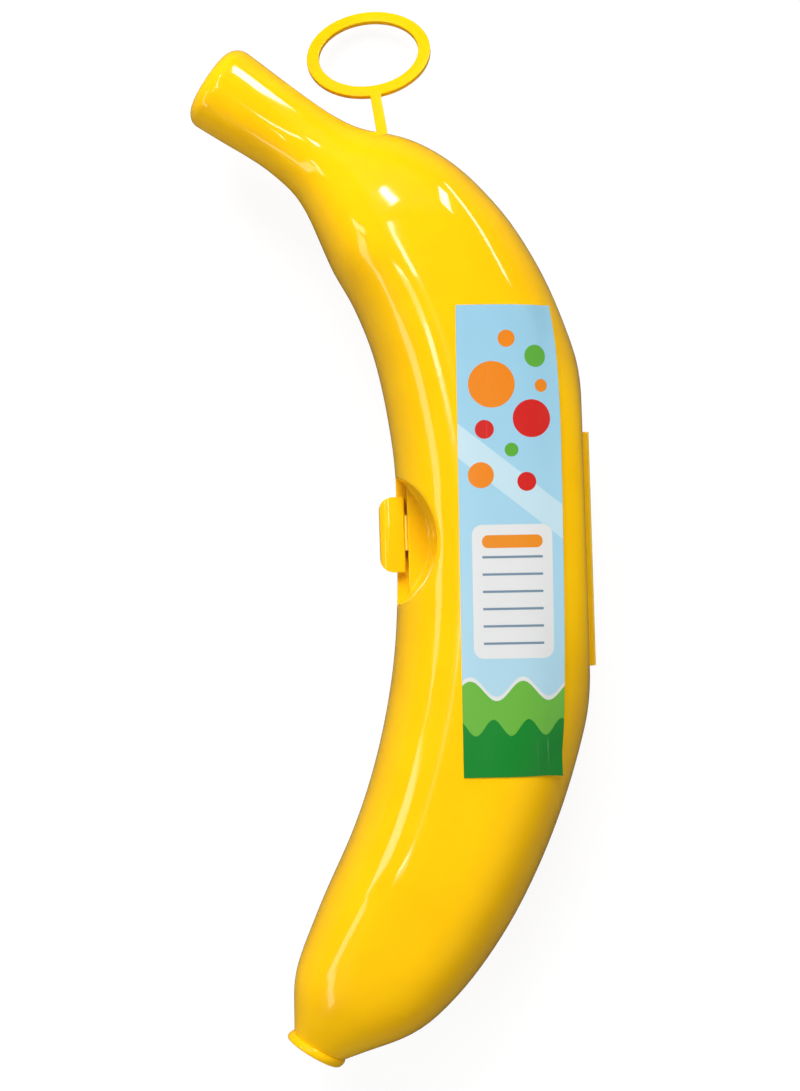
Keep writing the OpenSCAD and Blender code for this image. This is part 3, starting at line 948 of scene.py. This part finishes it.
def plastic(name, light, deep, rough, bump):
    """Glossy moulded plastic: slightly uneven colour, fine ripple, hairline scratches."""
    material, tree, skin = new_material(name)
    grain = use_grain(tree, 650.0, 55.0)
    marks = use_marks(tree, 0.8, 0.7)
    colour = tinted(tree, ramp(tree, grain["Flow"], 0.3, 0.7), light, deep)
    tree.links.new(colour, skin["Base Color"])
    gloss = calc(tree, "MULTIPLY_ADD", marks["Scratch"], SCRATCH_ROUGH, rough)
    gloss = calc(tree, "MULTIPLY_ADD", marks["Smudge"], SMUDGE_ROUGH, gloss)
    tree.links.new(gloss, skin["Roughness"])
    height = calc(tree, "MULTIPLY_ADD", marks["Scratch"], SCRATCH_HEIGHT, grain["Height"])
    add_relief(tree, skin, height, bump, PLASTIC_DEPTH)
    skin["IOR"].default_value = 1.5
    skin["Subsurface Weight"].default_value = 0.12
    skin["Subsurface Radius"].default_value = (1.0, 0.45, 0.04)
    skin["Subsurface Scale"].default_value = 0.0016
    return material


PLASTIC = plastic("yellow_moulded_plastic", (0.94, 0.53, 0.003, 1), (0.91, 0.495, 0.002, 1), 0.07, 0.05)
# Hinge and latch films: lighter than the shells, partly for the whitening of creased film and partly as a
# painted highlight that brightens the hinge strip
FILM_WHITENED_AND_PAINTED_BRIGHT = plastic("creased_hinge_film_painted_highlight", (0.97, 0.63, 0.06, 1), (0.94, 0.56, 0.03, 1), 0.3, 0.3)

# Print of the label: linear colours, and places in millimetres from its lower left corner
SKY_LOW = (0.36, 0.554, 0.648, 1)
SKY_HIGH = (0.259, 0.49, 0.626, 1)
PALE_BLUE = (0.446, 0.605, 0.67, 1)
WAVE_WHITE = (0.605, 0.619, 0.598, 1)
WAVE_GREEN = (0.122, 0.374, 0.043, 1)
DEEP_GREEN = (0.007, 0.194, 0.022, 1)
LEAF_GREEN = (0.086, 0.324, 0.029, 1)
PANEL_WHITE = (0.619, 0.626, 0.619, 1)
RULE_BLUE = (0.144, 0.216, 0.288, 1)
BAR_ORANGE = (0.67, 0.216, 0.014, 1)
ORANGE = (0.684, 0.194, 0.007, 1)
RED = (0.518, 0.014, 0.011, 1)
PRINT_SOFT = 0.05
BAND_SLOPE = 0.8
BAND_LOW = (74.0, 74.2)
BAND_HIGH = (82.2, 82.0)
RULES_FROM = 31.0
RULE_HALF_PITCH = 2.0
RULE_EDGE = (0.32, 0.24)

# Dots: middle, radius and colour, from the lowest layer up
DOTS = [
    (8.0, 91.0, 5.4, ORANGE), (17.2, 83.0, 4.4, RED), (18.4, 97.5, 2.6, LEAF_GREEN),
    (6.2, 80.6, 2.2, RED), (11.6, 101.6, 2.0, ORANGE), (19.6, 90.6, 1.5, ORANGE),
    (12.4, 75.8, 1.6, LEAF_GREEN), (5.2, 70.0, 3.0, ORANGE), (15.8, 68.4, 2.2, RED),
]

# Waves: level, swing, pitch and phase of the upper edge, and colour
WAVES = [
    (21.0, 2.3, 12.2, 0.6, WAVE_WHITE),
    (20.0, 2.3, 12.2, 0.6, WAVE_GREEN),
    (11.5, 1.9, 8.2, 2.4, DEEP_GREEN),
]

# Panels: middle, half width, half length and corner radius
SHEET_PANEL = (12.2, 43.0, 9.3, 15.5, 2.4)
RULE_PANEL = (12.2, 41.0, 7.0, 10.4, 0.2)
BAR_PANEL = (12.2, 54.6, 7.0, 1.5, 1.4)


def printed_label():
    """Light blue sheet with green waves, plain dots and a blank panel with rules."""
    material, tree, skin = new_material("printed_label_paper")

    def vector(operation, *values):
        return add_node(tree, "ShaderNodeVectorMath", dict(enumerate(values)), operation=operation).outputs

    uv = add_node(tree, "ShaderNodeUVMap", uv_map="print").outputs["UV"]
    where = vector("MULTIPLY", uv, (LABEL_W, LABEL_L, 0.0))[0]
    split = add_node(tree, "ShaderNodeSeparateXYZ", {"Vector": where})
    x, y = split.outputs["X"], split.outputs["Y"]

    def below_wave(level, swing, pitch, phase):
        swell = calc(tree, "SINE", calc(tree, "MULTIPLY_ADD", x, 2 * math.pi / pitch, phase))
        edge = calc(tree, "MULTIPLY_ADD", swell, swing, level)
        return ramp(tree, calc(tree, "SUBTRACT", edge, y), -PRINT_SOFT, PRINT_SOFT)

    def dot(cx, cy, r):
        far = vector("DISTANCE", where, (cx, cy, 0.0))["Value"]
        return ramp(tree, far, r + PRINT_SOFT, r - PRINT_SOFT)

    def panel(cx, cy, half_x, half_y, r):
        fold = vector("ABSOLUTE", vector("SUBTRACT", where, (cx, cy, 0.0))[0])[0]
        past = vector("SUBTRACT", fold, (half_x - r, half_y - r, 0.0))[0]
        out = vector("MAXIMUM", past, (0, 0, 0))[0]
        return ramp(tree, vector("LENGTH", out)["Value"], r + PRINT_SOFT, r - PRINT_SOFT)

    colour = tinted(tree, ramp(tree, y, 0.0, LABEL_L), SKY_LOW, SKY_HIGH)
    band = calc(tree, "MULTIPLY_ADD", x, BAND_SLOPE, y)
    band = calc(tree, "MULTIPLY", ramp(tree, band, *BAND_LOW), ramp(tree, band, *BAND_HIGH))
    colour = tinted(tree, band, colour, PALE_BLUE)
    for cx, cy, r, paint in DOTS:
        colour = tinted(tree, dot(cx, cy, r), colour, paint)
    for level, swing, pitch, phase, paint in WAVES:
        colour = tinted(tree, below_wave(level, swing, pitch, phase), colour, paint)
    colour = tinted(tree, panel(*SHEET_PANEL), colour, PANEL_WHITE)
    rule = calc(tree, "PINGPONG", calc(tree, "SUBTRACT", y, RULES_FROM), RULE_HALF_PITCH)
    rule = calc(tree, "MULTIPLY", ramp(tree, rule, *RULE_EDGE), panel(*RULE_PANEL))
    colour = tinted(tree, rule, colour, RULE_BLUE)
    colour = tinted(tree, panel(*BAR_PANEL), colour, BAR_ORANGE)
    grain = use_grain(tree, 1800.0, 120.0)
    marks = use_marks(tree, 0.6, 1.0)
    worn = calc(tree, "MULTIPLY", marks["Scratch"], PRINT_WEAR)
    tree.links.new(tinted(tree, worn, colour, PANEL_WHITE), skin["Base Color"])
    gloss = calc(tree, "MULTIPLY_ADD", marks["Smudge"], PRINT_SMUDGE_ROUGH, PRINT_ROUGH)
    tree.links.new(gloss, skin["Roughness"])
    add_relief(tree, skin, grain["Height"], PRINT_RELIEF, PRINT_DEPTH)
    return material


def paper_edge():
    """Uncoated white paper on the label's cut edges and back."""
    material, tree, skin = new_material("white_label_paper")
    grain = use_grain(tree, 2500.0, 300.0)
    colour = tinted(tree, grain["Flow"], (0.84, 0.83, 0.79, 1), (0.90, 0.90, 0.88, 1))
    tree.links.new(colour, skin["Base Color"])
    add_relief(tree, skin, grain["Height"], PAPER_RELIEF, PAPER_DEPTH)
    skin["Roughness"].default_value = PAPER_ROUGH
    return material


for piece in (front_shell, rear_shell, front_leaf, rear_leaf, catch_rib, clip, ring):
    piece.data.materials.append(PLASTIC)
for node in ("hinge_film", "latch_film"):
    frame["nodes"][node].material_slots[0].material = FILM_WHITENED_AND_PAINTED_BRIGHT
label.data.materials.append(printed_label())
label.data.materials.append(paper_edge())


# Stage, light and camera; from here on in metres

FLOOR_HALF = 4
corners = [(-FLOOR_HALF, -FLOOR_HALF, 0), (FLOOR_HALF, -FLOOR_HALF, 0)]
corners += [(FLOOR_HALF, FLOOR_HALF, 0), (-FLOOR_HALF, FLOOR_HALF, 0)]
floor_mesh = bpy.data.meshes.new("floor")
floor_mesh.from_pydata(corners, [], [(0, 1, 2, 3)])
floor = bpy.data.objects.new("floor", floor_mesh)
bpy.context.scene.collection.objects.link(floor)


def studio_floor():
    """Pale floor as the camera sees it, which throws only a little light back onto the case."""
    material, tree, skin = new_material("white_sweep")
    skin["Base Color"].default_value = (0.12, 0.12, 0.12, 1)
    skin["Roughness"].default_value = 0.9
    skin["Emission Color"].default_value = (1, 1, 1, 1)
    skin["Emission Strength"].default_value = 0.9
    ray = add_node(tree, "ShaderNodeLightPath").outputs
    pale = tinted(tree, ray["Is Glossy Ray"], (0.4, 0.4, 0.4, 1), (0.1, 0.1, 0.1, 1))
    bounce = add_node(tree, "ShaderNodeBsdfDiffuse", {"Color": pale}).outputs[0]
    shown = tree.nodes["Principled BSDF"].outputs[0]
    surface = add_node(tree, "ShaderNodeMixShader", {0: ray["Is Camera Ray"], 1: bounce, 2: shown})
    tree.links.new(surface.outputs[0], tree.nodes["Material Output"].inputs["Surface"])
    return material


floor_mesh.materials.append(studio_floor())

# The world is pale behind the case and throws little light
WORLD_LIGHT = 0.06
WORLD_SEEN = 0.85
world = bpy.data.worlds.new("studio")
bpy.context.scene.world = world
world.use_nodes = True
sky = world.node_tree
backdrop = sky.nodes["Background"].inputs
backdrop["Color"].default_value = (1, 1, 1, 1)
seen = add_node(sky, "ShaderNodeLightPath").outputs["Is Camera Ray"]
sky.links.new(calc(sky, "MULTIPLY_ADD", seen, WORLD_SEEN, WORLD_LIGHT), backdrop["Strength"])


def softbox(name, place, along, size, energy, gloss):
    """Area light aimed at the case, which shows only in its gloss or else lights it with no mirror image."""
    light = bpy.data.lights.new(name, "AREA")
    light.shape = "RECTANGLE"
    light.size, light.size_y = size
    light.energy = energy
    lamp = bpy.data.objects.new(name, light)
    lamp.location = place
    back = Vector(place).normalized()
    side = (Vector(along) - back * back.dot(Vector(along))).normalized()
    lamp.rotation_euler = Matrix((side, back.cross(side), back)).transposed().to_euler()
    lamp.visible_glossy = gloss
    lamp.visible_diffuse = not gloss
    bpy.context.scene.collection.objects.link(lamp)


# Name, place, direction of the longer side, size and power
softbox("main_fill", (-0.17, 1.11, 0.99), (1, 0, 0), (1.0, 1.0), 34, gloss=False)
softbox("left_fill", (-1.125, -0.65, 0.75), (0, 1, 0), (1.0, 1.0), 10.5, gloss=False)
softbox("right_fill", (0.98, -0.71, 0.89), (0, 1, 0), (1.0, 1.0), 7.5, gloss=False)
softbox("stem_gloss", (1.5, 2.82, 2.24), (0.269, 0.506, -0.819), (1.5, 0.36), 36, gloss=True)
softbox("shoulder_gloss", (-0.96, 2.28, 3.1), (0.33, -0.4, 0.39), (0.6, 0.17), 10, gloss=True)
softbox("right_line_gloss", (2.5, 2.6, 1.35), (0.94, -1.78, 1.8), (2.6, 0.25), 26, gloss=True)
softbox("left_line_gloss", (-0.79, 0.92, 3.76), (-0.24, 1.35, -0.36), (1.45, 0.16), 11, gloss=True)
softbox("left_tail_gloss", (-1.48, -0.09, 3.66), (-0.55, -0.1, -0.16), (0.42, 0.07), 1.3, gloss=True)
softbox("left_haze_gloss", (-1.42, -0.19, 3.66), (0, 1, 0), (0.2, 0.55), 0.8, gloss=True)
softbox("tip_gloss", (-3.0, 0.68, 2.4), (-0.4, 0, -0.5), (1.1, 0.38), 5.9, gloss=True)
softbox("tip_end_gloss", (-3.37, -0.39, 2.05), (-0.4, -0.79, -0.47), (1.65, 0.7), 10.5, gloss=True)
softbox("side_gloss", (-2.9, -1.75, 1.95), (0.5, -0.85, 0), (1.6, 0.5), 7, gloss=True)

CAMERA_LENS = 82.5
CAMERA_X = 0.00041
CAMERA_Y = -0.00389
CAMERA_OVER_HINGE = 0.6
CAMERA_ROLL = -1.83
camera_data = bpy.data.cameras.new("photo_camera")
camera_data.lens = CAMERA_LENS
camera = bpy.data.objects.new("photo_camera", camera_data)
camera.location = (CAMERA_X, CAMERA_Y, CAMERA_OVER_HINGE + hinge["pos_m"][2])
camera.rotation_euler = (0, 0, math.radians(CAMERA_ROLL))
bpy.context.scene.collection.objects.link(camera)
bpy.context.scene.camera = camera
bpy.context.scene.view_settings.view_transform = "Standard"
